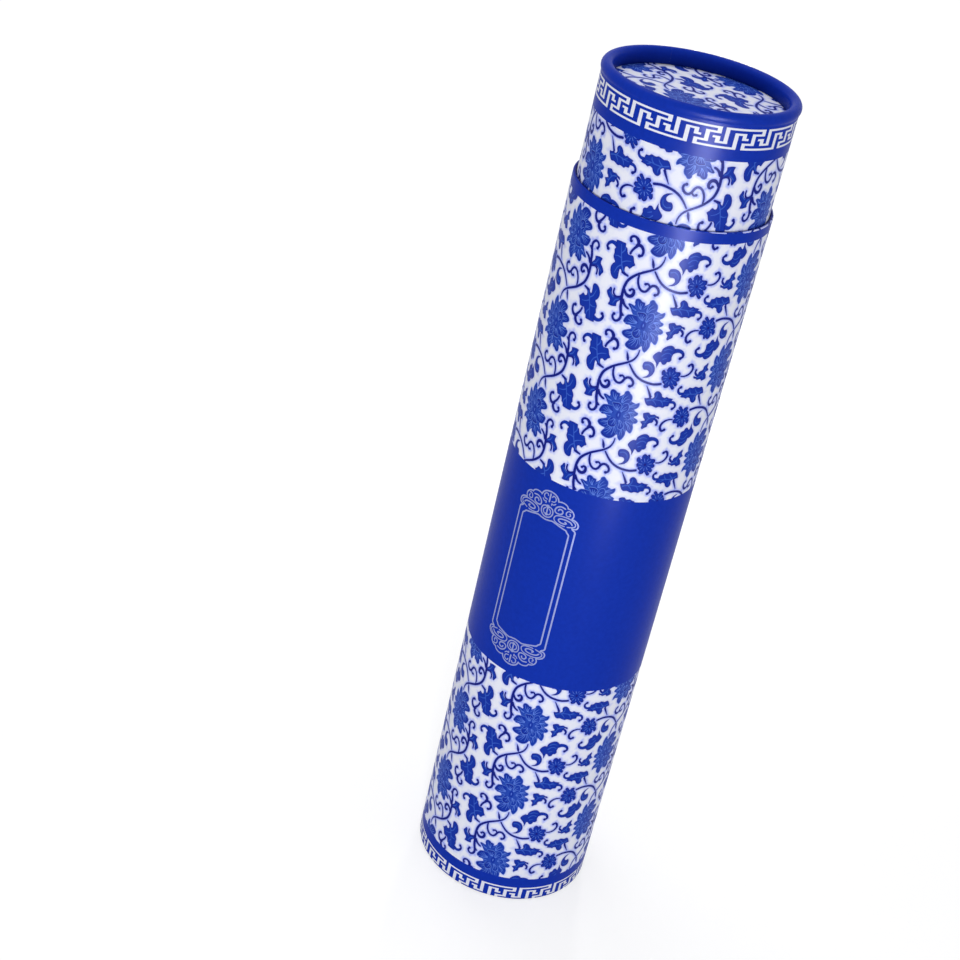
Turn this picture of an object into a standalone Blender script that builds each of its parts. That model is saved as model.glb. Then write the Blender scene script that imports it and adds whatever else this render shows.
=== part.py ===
"""Telescoping paperboard poster tube: a printed outer tube with a closed bottom, and a
printed inner tube with a rolled rim and a recessed top that slides down inside it.
Units are metres, +Z is up, and the origin is the middle of the underside."""

import math

import bmesh
import bpy

# Overall sizes, with the tube closed
OUTER_RADIUS = 0.0500
LIP_HEIGHT = 0.4200
NECK_HEIGHT = 0.0565

# Paper, board and the spaces between them
PAPER = 0.00025
BOARD = 0.0009
GLUE_LINE = 0.0001
SLIDE_CLEARANCE = 0.00035
SEAT_CLEARANCE = 0.0003

# Rolled rim and recessed top of the inner tube
RIM_ROLL_RADIUS = 0.0030
RIM_PROUD = 0.0007
RIM_FILLET = 0.0020
RECESS_DEPTH = 0.0082
TOP_DISC_THICKNESS = 0.0020

# Mouth and bottom of the outer tube
MOUTH_TURN_IN = 0.0120
BOTTOM_TURN_UNDER = 0.0120
BOTTOM_EDGE_ROUND = 0.0012
BOTTOM_DISC_THICKNESS = 0.0020
FACING_MARGIN = 0.0015

# Faceting, the same all through so that nested walls keep their spacing
FACETS = 64
RIM_OUTER_STEPS = 5
RIM_INNER_STEPS = 4
FILLET_STEPS = 2
LIP_STEPS = 6
EDGE_STEPS = 3

# Radii, worked inwards from the outside
SKIN = PAPER + GLUE_LINE
WALL = SKIN + BOARD + SKIN
LIP_RADIUS = WALL / 2
MOUTH_RADIUS = OUTER_RADIUS - WALL
OUTER_BOARD_BORE = OUTER_RADIUS - SKIN - BOARD
NECK_RADIUS = MOUTH_RADIUS - SLIDE_CLEARANCE
INNER_BOARD_BORE = NECK_RADIUS - SKIN - BOARD
EDGE_RADIUS = min(BOTTOM_EDGE_ROUND, SKIN + BOARD)

# Heights, worked up from the underside
WRAP_BASE = SKIN
BOARD_BASE = WRAP_BASE + SKIN
FLOOR_TOP = BOARD_BASE + BOTTOM_DISC_THICKNESS + SKIN
INNER_FOOT = FLOOR_TOP + SEAT_CLEARANCE
INNER_LENGTH = LIP_HEIGHT + NECK_HEIGHT - INNER_FOOT
RIM_CENTRE_RADIUS = NECK_RADIUS + RIM_PROUD - RIM_ROLL_RADIUS
RIM_CENTRE_HEIGHT = INNER_LENGTH - RIM_ROLL_RADIUS
TOP_FACE = INNER_LENGTH - RECESS_DEPTH

# Colours: sRGB values written as linear light
COBALT = (0.010, 0.035, 0.420)
PRINTED = (0.180, 0.240, 0.660)
WHITE_PAPER = (0.780, 0.770, 0.790)
GREY_BOARD = (0.330, 0.290, 0.240)


def arc(centre, radius, start, end, steps):
    """Points (r, z) on an arc, with its angles in degrees from the +r direction."""
    points = []
    for step in range(steps + 1):
        angle = math.radians(start + (end - start) * step / steps)
        points.append((centre[0] + radius * math.cos(angle),
                       centre[1] + radius * math.sin(angle)))
    return points


def bottom_edge(inset):
    """The rounded lower edge of the outer tube, a depth of inset below its surface."""
    centre = (OUTER_RADIUS - EDGE_RADIUS, WRAP_BASE + EDGE_RADIUS)
    return arc(centre, EDGE_RADIUS - inset, -90, 0, EDGE_STEPS)


def lip(inset):
    """The half-round lip at the mouth of the outer tube, from outside to inside."""
    centre = (OUTER_RADIUS - LIP_RADIUS, LIP_HEIGHT - LIP_RADIUS)
    return arc(centre, LIP_RADIUS - inset, 0, 180, LIP_STEPS)


def outer_skin(inset):
    """Path of a sheet on the outer tube: from under the bottom, up and into the mouth."""
    under = (OUTER_RADIUS - EDGE_RADIUS - BOTTOM_TURN_UNDER, WRAP_BASE + inset)
    mouth = (MOUTH_RADIUS + inset, LIP_HEIGHT - MOUTH_TURN_IN)
    return [under] + bottom_edge(inset) + lip(inset) + [mouth]


def inner_skin(inset):
    """Path of a sheet on the inner tube: up the wall, over the rim, down the recess."""
    across = NECK_RADIUS + RIM_FILLET - RIM_CENTRE_RADIUS
    drop = math.sqrt((RIM_ROLL_RADIUS + RIM_FILLET) ** 2 - across ** 2)
    lean = math.degrees(math.atan2(drop, across))
    fillet_centre = (NECK_RADIUS + RIM_FILLET, RIM_CENTRE_HEIGHT - drop)
    rim_centre = (RIM_CENTRE_RADIUS, RIM_CENTRE_HEIGHT)
    foot = (NECK_RADIUS - inset, 0.0)
    fillet = arc(fillet_centre, RIM_FILLET + inset, 180, 180 - lean, FILLET_STEPS)
    roll = RIM_ROLL_RADIUS - inset
    rim = arc(rim_centre, roll, -lean, 90, RIM_OUTER_STEPS)
    rim += arc(rim_centre, roll, 90, 180, RIM_INNER_STEPS)[1:]
    leg = (RIM_CENTRE_RADIUS - RIM_ROLL_RADIUS + inset, TOP_FACE + SEAT_CLEARANCE)
    return [foot] + fillet[:-1] + rim + [leg]


def layer(path, depth, thickness):
    """Closed section of a sheet of this thickness, lying at this depth along a path."""
    return path(depth) + path(depth + thickness)[::-1]


def tube_section(outside, thickness, bottom, top):
    """Closed section of a plain straight tube."""
    inside = outside - thickness
    return [(outside, bottom), (outside, top), (inside, top), (inside, bottom)]


def paint(name, colour, roughness):
    """Principled material of a sub-part."""
    material = bpy.data.materials.new(name)
    material.use_nodes = True
    shader = material.node_tree.nodes["Principled BSDF"]
    shader.inputs["Base Color"].default_value = (*colour, 1.0)
    shader.inputs["Roughness"].default_value = roughness
    shader.inputs["Metallic"].default_value = 0.0
    return material


def finish(name, bm, carrier, colour, roughness):
    """Make the object from its mesh, smooth its round sides and hang it on its carrier."""
    bmesh.ops.recalc_face_normals(bm, faces=bm.faces)
    mesh = bpy.data.meshes.new(name)
    bm.to_mesh(mesh)
    bm.free()
    mesh.shade_smooth()
    mesh.set_sharp_from_angle(angle=math.radians(40))
    mesh.materials.append(paint(name, colour, roughness))
    piece = bpy.data.objects.new(name, mesh)
    bpy.context.collection.objects.link(piece)
    piece.parent = carrier
    return piece


def turned(name, section, carrier, colour, roughness):
    """A sub-part whose closed section is turned once round the tube's axis."""
    bm = bmesh.new()
    ring = [bm.verts.new((radius, 0.0, height)) for radius, height in section]
    edges = [bm.edges.new((ring[index - 1], ring[index])) for index in range(len(ring))]
    bmesh.ops.spin(bm, geom=ring + edges, cent=(0, 0, 0), axis=(0, 0, 1),
                   angle=math.tau, steps=FACETS, use_merge=True)
    bmesh.ops.remove_doubles(bm, verts=bm.verts, dist=1e-7)
    return finish(name, bm, carrier, colour, roughness)


def disc(name, radius, bottom, thickness, carrier, colour, roughness):
    """A flat round sub-part cut from sheet."""
    bm = bmesh.new()
    bmesh.ops.create_cone(bm, cap_ends=True, segments=FACETS, radius1=radius,
                          radius2=radius, depth=thickness)
    bmesh.ops.translate(bm, verts=bm.verts, vec=(0, 0, bottom + thickness / 2))
    return finish(name, bm, carrier, colour, roughness)


def carrier(name, height):
    """An empty on the tube's axis that a half of the case hangs on."""
    empty = bpy.data.objects.new(name, None)
    empty.empty_display_size = OUTER_RADIUS
    empty.location = (0, 0, height)
    bpy.context.collection.objects.link(empty)
    return empty


def build_outer_tube(body):
    """The standing half: board tube, printed wrap, lining and the closed bottom."""
    board = bottom_edge(SKIN) + lip(SKIN) + [(OUTER_BOARD_BORE, BOARD_BASE)]
    turned("outer_board_tube", board, body, GREY_BOARD, 0.9)
    turned("outer_printed_wrap", layer(outer_skin, 0.0, PAPER), body, PRINTED, 0.45)

    floor_radius = OUTER_BOARD_BORE - GLUE_LINE
    lining_disc_base = BOARD_BASE + BOTTOM_DISC_THICKNESS + GLUE_LINE
    lining_base = FLOOR_TOP + GLUE_LINE
    lining_top = LIP_HEIGHT - MOUTH_TURN_IN - SEAT_CLEARANCE
    facing_radius = OUTER_RADIUS - EDGE_RADIUS - FACING_MARGIN
    disc("bottom_disc", floor_radius, BOARD_BASE, BOTTOM_DISC_THICKNESS, body, GREY_BOARD, 0.9)
    disc("bottom_disc_facing", facing_radius, 0.0, PAPER, body, COBALT, 0.5)
    disc("bottom_disc_lining", floor_radius, lining_disc_base, PAPER, body, WHITE_PAPER, 0.8)
    lining = tube_section(floor_radius, PAPER, lining_base, lining_top)
    turned("outer_lining", lining, body, WHITE_PAPER, 0.8)


def build_inner_tube(body):
    """The sliding half: board tube with its rolled rim, printed wrap, lining and top."""
    turned("inner_board_tube", layer(inner_skin, SKIN, BOARD), body, GREY_BOARD, 0.9)
    turned("inner_printed_wrap", layer(inner_skin, 0.0, PAPER), body, PRINTED, 0.45)

    top_radius = INNER_BOARD_BORE - GLUE_LINE
    disc_base = TOP_FACE - SKIN - TOP_DISC_THICKNESS
    lining_disc_base = disc_base - SKIN
    lining_top = lining_disc_base - GLUE_LINE
    disc("top_disc", top_radius, disc_base, TOP_DISC_THICKNESS, body, GREY_BOARD, 0.9)
    disc("top_disc_facing", top_radius, TOP_FACE - PAPER, PAPER, body, PRINTED, 0.45)
    disc("top_disc_lining", top_radius, lining_disc_base, PAPER, body, WHITE_PAPER, 0.8)
    lining = tube_section(top_radius, PAPER, 0.0, lining_top)
    turned("inner_lining", lining, body, WHITE_PAPER, 0.8)


def main():
    for old in list(bpy.data.objects):
        bpy.data.objects.remove(old, do_unlink=True)
    build_outer_tube(carrier("standing_half", 0.0))
    build_inner_tube(carrier("sliding_half", INNER_FOOT))


main()
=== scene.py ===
"""Looks of the telescoping paperboard poster tube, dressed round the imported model.

The two printed papers are modelled as what they are: flat sheets with a cobalt print, wrapped
round the tubes and turned in at their ends. The print is drawn in sheet coordinates, in
millimetres: u runs round the tube, with u = 0 facing -Y and +u towards +X, and s runs along
the paper, equal to the height z on the straight wall. Every inked shape is cut into the
sheet's own mesh, and each ink is a material."""

import math

import bpy
from mathutils import Matrix, Vector
from mathutils.geometry import delaunay_2d_cdt
from mathutils.kdtree import KDTree


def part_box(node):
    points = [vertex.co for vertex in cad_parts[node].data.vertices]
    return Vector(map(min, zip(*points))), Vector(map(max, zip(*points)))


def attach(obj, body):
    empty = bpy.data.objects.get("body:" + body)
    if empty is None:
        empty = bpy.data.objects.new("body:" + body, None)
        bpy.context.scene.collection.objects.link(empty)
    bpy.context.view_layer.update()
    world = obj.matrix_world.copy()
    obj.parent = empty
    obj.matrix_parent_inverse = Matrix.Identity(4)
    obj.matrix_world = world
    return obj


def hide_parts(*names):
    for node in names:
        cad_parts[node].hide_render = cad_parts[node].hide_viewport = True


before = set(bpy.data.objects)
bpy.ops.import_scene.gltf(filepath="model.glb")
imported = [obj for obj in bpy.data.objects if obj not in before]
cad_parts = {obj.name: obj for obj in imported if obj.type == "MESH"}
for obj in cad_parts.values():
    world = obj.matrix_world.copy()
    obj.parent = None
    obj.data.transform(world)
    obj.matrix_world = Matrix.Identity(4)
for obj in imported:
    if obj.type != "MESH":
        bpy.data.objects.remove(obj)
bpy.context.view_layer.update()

MM = 0.001

# Sizes read from the frame, in millimetres
OUTER_LOW, OUTER_HIGH = [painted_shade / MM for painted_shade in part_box("outer_printed_wrap")]
INNER_LOW, INNER_HIGH = [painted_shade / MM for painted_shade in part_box("inner_printed_wrap")]
TOP_DISC_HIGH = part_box("top_disc_facing")[1] / MM
OUTER_RADIUS = OUTER_HIGH.x
WRAP_BASE = OUTER_LOW.z
LIP_HEIGHT = OUTER_HIGH.z
INNER_FOOT = INNER_LOW.z
RIM_TOP = INNER_HIGH.z
TOP_RADIUS = TOP_DISC_HIGH.x
TOP_FACE = TOP_DISC_HIGH.z

# Sizes of the paper and its folds, in millimetres, as in the solids
PAPER = 0.25
LIP_RADIUS = 0.8
EDGE_RADIUS = 1.2
BOTTOM_TURN_UNDER = 12.0
MOUTH_TURN_IN = 12.0
RIM_PROUD = 0.7
RIM_ROLL_RADIUS = 3.0
RIM_FILLET = 2.0
LEG_CLEARANCE = 0.3
NECK_RADIUS = INNER_HIGH.x - RIM_PROUD

# The glued lap of each paper, at the back: its tab starts and ends a margin from the paper's ends
LAP_WIDTH = 8.0
LAP_LIFT = 0.02
LAP_RISE = 2.0
LAP_FADE = 5.0
BUTT_GAP = 0.012
TAB_MARGIN = 4.0
RIM_TAB_MARGIN = 8.0
OUTER_LAP_ANGLE = 65.5
INNER_LAP_ANGLE = 115.0

# Mesh of the sheets, in millimetres
COLUMN = 2.45
ROW = 5.0
BACK_COLUMN = 4.9
BACK_ROW = 20.0
BACK_EDGE = 0.3
ARC_ROW = 0.42
MERGE = 1e-5
SLOPE_STEP = 0.1
ROW_OVERHANG = 1.0
BAND_OVERHANG = 5.0
SWAY_POINTS = 72

# Texture space: margin at the sides, and where the front's and back's strips start and their shares
UV_MARGIN = 0.01
FRONT_STRIP = (0.01, 0.95)
BACK_STRIP = (0.97, 0.02)


# Curves


def smooth(points, steps, closed=False):
    """Catmull-Rom curve through the points, with this many steps from each to the next."""
    if steps == 1:
        return [Vector(point) for point in points]
    points = [Vector(point) for point in points]
    count = len(points)
    spans = count if closed else count - 1
    result = []
    for index in range(spans):
        b, c = points[index], points[(index + 1) % count]
        a = points[index - 1] if closed or index > 0 else 2 * b - c
        d = points[(index + 2) % count] if closed or index + 2 < count else 2 * c - b
        for step in range(steps):
            t = step / steps
            result.append(0.5 * (2 * b + (c - a) * t + (2 * a - 5 * b + 4 * c - d) * t * t
                                 + (3 * b - a - 3 * c + d) * t ** 3))
    if not closed:
        result.append(points[-1])
    return result


def ring(centre, across, up, count, turn=0.0):
    """An ellipse of count points."""
    turned = Matrix.Rotation(math.radians(turn), 2)
    steps = [math.tau * index / count for index in range(count)]
    return [Vector(centre) + turned @ Vector((across * math.cos(a), up * math.sin(a))) for a in steps]


def ribbon(points, widths, steps):
    """Outline of a brush stroke along a curve, its widths spread evenly from start to end."""
    line = smooth(points, steps)
    left, right = [], []
    for index, point in enumerate(line):
        ahead = line[min(index + 1, len(line) - 1)] - line[max(index - 1, 0)]
        side = Vector((-ahead.y, ahead.x)).normalized()
        place = index / (len(line) - 1) * (len(widths) - 1)
        low = min(int(place), len(widths) - 2)
        width = widths[low] + (widths[low + 1] - widths[low]) * (place - low)
        left.append(point + side * width / 2)
        right.append(point - side * width / 2)
    start = line[0] + (line[0] - line[1]).normalized() * widths[0] / 2
    end = line[-1] + (line[-1] - line[-2]).normalized() * widths[-1] / 2
    return [start] + right + [end] + left[::-1]


def split(outline, step):
    """The outline with points added on long edges, so that they follow the round tube."""
    result = []
    for index, point in enumerate(outline):
        before = outline[index - 1]
        count = max(1, math.ceil(abs(point.x - before.x) / step))
        result += [before.lerp(point, place / count) for place in range(count)]
    return result


def area(outline):
    return sum(outline[i - 1].x * p.y - p.x * outline[i - 1].y for i, p in enumerate(outline)) / 2


# Motifs of the flower-and-vine print, drawn where they stand on the outer tube.
# One flower with its vine, leaves and buds is half a repeat. Turning it by 180 degrees about
# TWO_FOLD gives the other half, and ACROSS and UP carry both over the whole paper.

TWO_FOLD = Vector((-21.0, 383.6))
ACROSS = Vector((100.9, -5.0))
UP = Vector((0.57, 49.1))
LOW_SHIFT = Vector((-0.6, 2.1))
INNER_SHIFT = Vector((-49.6, 63.0))

# How far copies are looked for, in repeats, and how far half a repeat reaches from its middle
COPIES_ACROSS = range(-4, 5)
COPIES_UP = range(-10, 4)
HALF_REACH = 40.0

# Stems: points, widths and the radius of the knob at the end, all drawn this much thicker
STROKE = 1.1
STEMS = (
    (((4.4, 404.4), (4.2, 402), (3, 399.2), (0.6, 397), (-2.7, 395), (-5.4, 393.3),
      (-8, 391), (-9.8, 388.7), (-10.7, 386.2), (-11.1, 383.3), (-11, 379.8),
      (-10.6, 377), (-10.2, 374), (-9.5, 371.6), (-9.1, 369.4), (-9.7, 367.6),
      (-11.1, 366.7), (-12.5, 367.3), (-13.1, 368.7), (-12.6, 369.9)),
     (0.5, 0.9, 1.1, 1.2, 1.3, 1.3, 1.2, 1.1, 1), 0.75),
    (((-10.6, 383.6), (-9.6, 381.7), (-8, 380.8), (-6.5, 381.3), (-5.8, 382.8),
      (-6.1, 384.3), (-7.1, 384.7), (-7.9, 383.9)), (0.8, 1.6, 1.5, 1.2, 0.9), 0.65),
    (((-5.4, 392.6), (-5.4, 390.4), (-4.9, 388.3), (-3.8, 386.3), (-2.4, 385.2), (-0.9, 385.2),
      (0.2, 386.3), (0.9, 387.9), (2, 389), (3.4, 389.1), (4.7, 388.2), (5.5, 386.7),
      (5.2, 385.2), (4.2, 384.7)), (0.8, 1, 1.1, 1.1, 1.2, 1.1, 1), 0.75),
    (((0.9, 387.6), (0.4, 388.8), (-0.5, 389.4), (-1.4, 389)), (0.7, 0.9, 1), 0.65),
    (((-12.7, 352.2), (-12.3, 353.8), (-11.3, 355.6), (-10.2, 357.1), (-10, 358.8),
      (-10.7, 360.2), (-12.1, 361.1), (-13.6, 360.8), (-14.3, 359.6), (-13.8, 358.5)),
     (1, 1, 1.2, 1.6, 1.1, 1.1, 1), 0.75),
    (((-10.6, 357.3), (-8.9, 357.7), (-7.5, 356.7), (-6.8, 354.9), (-7.1, 353.1), (-8.2, 352.6)),
     (1.4, 1.5, 1.2, 1.1, 1), 0.8),
    (((1.4, 396.2), (3.7, 393.1), (6, 390.8), (9, 389.1), (12.4, 388.2), (15.6, 387.9),
      (18.8, 388.5)), (0.7, 1, 1.1, 1.1, 1.2), 0.62),
    (((28.4, 393.2), (30.3, 393.2), (32.2, 393.9), (33.6, 395.3), (34.2, 397), (33.8, 398.7),
      (32.6, 399.7), (31.5, 399)), (0.6, 0.9, 1.1, 1.2, 1.1), 0.75),
    (((-1.3, 402.2), (-0.7, 400.8), (-0.2, 399.3), (0.2, 397.9)), (0.25, 0.9, 1.2, 0.8), 0),
    (((-10.4, 378.2), (-9.2, 376.5), (-7.9, 375.3), (-6.5, 374.6)), (1.7, 1.1, 1), 0),
    (((12.3, 386.7), (13.6, 384.5), (14.8, 382.4), (15.6, 380.8)), (0.3, 0.9, 1.2), 0),
    (((-13.6, 391.6), (-12.3, 390.9), (-10.6, 390.4)), (1.6, 1.2, 0.9), 0),
    (((-15.4, 382.2), (-15.5, 380.4), (-14.7, 379), (-13.2, 378.6), (-11.4, 379.4)),
     (0.8, 0.9, 0.8), 0.6),
)

# Curls that leaves end in: blue like the leaf, and dark towards the knob
CURLS = (
    (((-19.5, 403), (-20.9, 403.6), (-22.6, 403.5), (-23.9, 402.3), (-24.4, 400.8),
      (-23.6, 399.7)), (2.2, 1.7, 1.2, 1.1), 0.8),
    (((20.2, 406.2), (22.6, 407), (24.7, 406.7), (26.2, 405.5), (26.5, 403.9), (25.3, 402.9)),
     (2.6, 1.8, 1.3, 1.1), 0.8),
    (((26, 378.9), (28.2, 378.7), (29.5, 377.6), (29.7, 376), (28.6, 375.1)),
     (1.6, 1.3, 1.1, 1), 0.75),
    (((19.8, 369.6), (21.6, 368.5), (22.5, 367.2), (22.3, 366)), (1.3, 1.1, 1), 0.6),
)

THORN = ((-9.8, 372.9), (-8.5, 371.6), (-7.6, 370.5), (-8.7, 370), (-9.6, 369.6))

BIG_LEAF = (
    (-20.4, 405.4), (-18.6, 405.7), (-16.6, 405.6), (-15.3, 405.4), (-15, 403.9),
    (-14.1, 403.4), (-13.6, 401.8), (-12.8, 400.7), (-11.6, 400.8), (-10.4, 400.7),
    (-9.7, 399.2), (-9.2, 397.8), (-8.4, 396.5), (-9.5, 395.6), (-10.6, 394),
    (-11.9, 394.7), (-12.9, 394.2), (-12.8, 392.4), (-12.4, 391.2), (-14.2, 391.7),
    (-15.2, 392.4), (-15.3, 390.2), (-15.1, 387.9), (-15.8, 386.8), (-17.4, 386.8),
    (-18.9, 388), (-19.8, 390), (-20, 392), (-19.4, 393.7), (-18.5, 394.8),
    (-19.2, 395.8), (-20, 397.2), (-19.9, 399), (-20.3, 400.6), (-19.7, 402.2),
    (-20, 403.8))
BIG_LEAF_VEINS = (
    ((-13.2, 391.9), (-14.6, 394.2), (-15.6, 397.2), (-16.6, 401), (-17.4, 404.4)),
    ((-15.2, 395.8), (-13.2, 397.2), (-10.8, 397.8)),
    ((-15.8, 397.8), (-17.6, 398.3), (-19.3, 397.9)),
    ((-14.8, 394.6), (-16.6, 393), (-17.6, 389.6)),
    ((-16.3, 400.2), (-15, 402.2), (-15.2, 404.2)))

LOW_LEAF = (
    (-17, 382.3), (-16.4, 381.2), (-16.3, 379.9), (-15.4, 378.8), (-14, 378.3),
    (-12.3, 378.8), (-11.3, 378.9), (-11.4, 377.4), (-12.4, 376.2), (-12.7, 374.9),
    (-12.5, 373.9), (-13.9, 373.4), (-15.4, 373.2), (-16.8, 373.5), (-16.4, 374.8),
    (-16.5, 376.2), (-17.5, 377.1), (-18.6, 378.7), (-18.9, 379.9), (-18.2, 380.9),
    (-17.7, 382.1))
LOW_LEAF_VEINS = (((-12.2, 377.6), (-13.6, 376.9), (-14.6, 374.6)), ((-15, 377.8), (-17.4, 379.8)))

SCROLL_LEAF = (
    (8, 398.9), (9, 399.4), (10.7, 399.6), (12.5, 398.8), (13.6, 397.3), (14.1, 395.5),
    (13.8, 393.5), (12.8, 391.9), (11.2, 390.9), (8.9, 390.6), (10.7, 391.7), (11.6, 393.1),
    (11.3, 394.4), (10.2, 395), (8.8, 394.9), (7.9, 396), (7.6, 397.5))
SCROLL_LEAF_VEINS = (((8.8, 397.4), (10.6, 397.9), (12.4, 396.6), (12.8, 394.6)),)
PLUME = (
    (14.4, 396.8), (14, 398.8), (12.9, 400.4), (11.6, 401.8), (11.4, 403), (12.4, 404.6),
    (13.8, 405.6), (14.8, 405.4), (15, 406.8), (15.8, 408), (17.2, 409), (18.8, 409.5),
    (20.2, 409.1), (21.3, 408), (22, 406.8), (21.1, 404.9), (20.7, 403.2), (21, 401.8),
    (20.2, 400.7), (19.1, 400.6), (18.6, 399.4), (17.6, 398.9), (16.7, 399.3), (16, 400.2),
    (15.3, 400.2), (15, 398.9))
PLUME_VEINS = (((15.7, 403.4), (17.2, 405), (19, 405.3), (20.4, 404.4)),
               ((16.2, 406.4), (18, 407.4), (20.2, 407)), ((16.6, 401.8), (18.4, 402.6)))

BROAD_LEAF = (
    (12.8, 380), (14, 380.1), (15.4, 380.6), (16.5, 380.2), (17.5, 381.2), (17, 382.7),
    (17.4, 383.9), (18.5, 384.6), (19.8, 384.1), (20.9, 383), (21.5, 381.7), (23, 381.1),
    (23.8, 381.7), (25.1, 381.1), (26.4, 380.9), (27.6, 380.5), (27, 379.6), (26.4, 378.2),
    (26, 376.5), (24.4, 376.4), (23.4, 375.5), (22.1, 375.8), (20.9, 375.9), (19.8, 375.4),
    (18.4, 375.8), (17, 376.3), (15.5, 376), (14.4, 376.6), (13.6, 377.8), (13.1, 378.8))
BROAD_LEAF_VEINS = (
    ((14.2, 378.6), (17, 379.6), (20, 379.6), (23, 379.2), (25.4, 379.2)),
    ((17.6, 379.8), (18.6, 381.4), (18.6, 383.2)), ((21, 379.6), (22.4, 378.2), (22.8, 376.8)),
    ((17, 379.4), (18.4, 378.2), (19.4, 376.8)), ((22.8, 379.5), (24.4, 380.4)))

SMALL_LEAF = (
    (14.2, 371.6), (15.2, 372.1), (17, 372.4), (18.1, 371.3), (20, 371.6), (21.3, 370.8),
    (22.6, 370.5), (23, 369.2), (22, 369.5), (21, 369.8), (20.4, 368.8), (20.4, 367.6),
    (19.7, 366.8), (18.6, 366.6), (17.8, 365.7), (17.8, 364.5), (16.5, 363.6), (15.5, 362.8),
    (14.9, 363.8), (15.1, 365.3), (13.8, 366.8), (14.8, 367.4), (15.9, 368), (14.8, 369.3),
    (14.4, 370.5))
SMALL_LEAF_VEINS = (((20.6, 370.2), (18.4, 369.6), (17, 367.8), (16, 364.8)),
                    ((17.8, 369), (16.4, 370.6)), ((16.6, 367), (15.2, 366.9)))
LEAVES = ((BIG_LEAF, BIG_LEAF_VEINS), (LOW_LEAF, LOW_LEAF_VEINS), (SCROLL_LEAF, SCROLL_LEAF_VEINS),
          (PLUME, PLUME_VEINS), (BROAD_LEAF, BROAD_LEAF_VEINS), (SMALL_LEAF, SMALL_LEAF_VEINS))

# Petals of the flower: root, margin, ink and number of light ribs, outer ones first
FLOWER = (
    (-3.9, 378.9), (-3.9, 380.2), (-2.7, 380.9), (-1.4, 380.4), (-0.8, 379.8), (0.6, 379.6),
    (1, 378.4), (2.7, 380), (3.1, 381.4), (4.3, 382.1), (5.4, 381), (6.7, 379.9),
    (7.1, 378.1), (7.2, 376.7), (8.4, 376.5), (9.7, 375.9), (11.1, 376.8), (11.2, 375.3),
    (10.5, 373.8), (9.4, 372.6), (11.2, 371.4), (11.6, 370.4), (10.7, 369.4), (10.1, 368.5),
    (11.6, 367.8), (12.5, 366.6), (11.7, 365.4), (10.6, 365), (10.9, 363.4), (11, 361.6),
    (10.4, 359.6), (9.2, 360.2), (8.1, 360.8), (8, 358.9), (7.5, 356.8), (6.2, 354.7),
    (4.9, 356.3), (4.2, 357.6), (3.4, 356.7), (2.2, 355.4), (0.6, 354.6), (-1.5, 354.8),
    (-3, 355.6), (-3.7, 356.8), (-2.8, 358.6), (-2.6, 359.6), (-4.3, 360.1), (-6, 361),
    (-6.6, 362.3), (-5.8, 363.6), (-3.6, 364.7), (-2.8, 365.6), (-4.2, 367.2), (-5.9, 367),
    (-7.2, 367.6), (-7.2, 369), (-6.5, 370.7), (-5.7, 371.8), (-3.8, 372.4), (-4.6, 373.6),
    (-5.7, 375.4), (-7, 377), (-5.9, 377.4), (-3.9, 376.9))
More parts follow.
